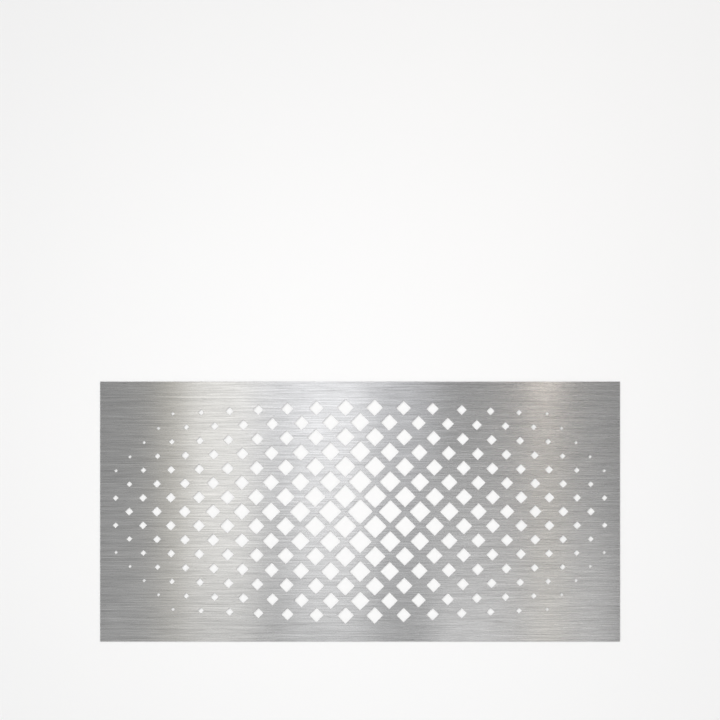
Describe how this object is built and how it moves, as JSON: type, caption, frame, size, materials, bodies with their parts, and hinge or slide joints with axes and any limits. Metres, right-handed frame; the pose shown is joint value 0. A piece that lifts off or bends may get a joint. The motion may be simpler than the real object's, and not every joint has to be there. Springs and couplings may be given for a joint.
{
  "type": "decorative perforated metal sheet",
  "caption": "Flat rectangular sheet of brushed stainless steel, with square holes on their points that shrink from the middle outwards. Stock for screens, infill panels and cladding.",
  "frame": {"origin": "centre of the sheet's back face, in the middle hole, where the sheet lies on the floor", "axes": "+X along the sheet, +Y across it, +Z out of its front face"},
  "size_m": [1, 0.5, 0.002],
  "materials": {
    "brushed_metal": "satin, brushed along the length of the sheet"
  },
  "bodies": {
    "root": {"perforated_sheet": "brushed_metal"}
  },
  "joints": []
}
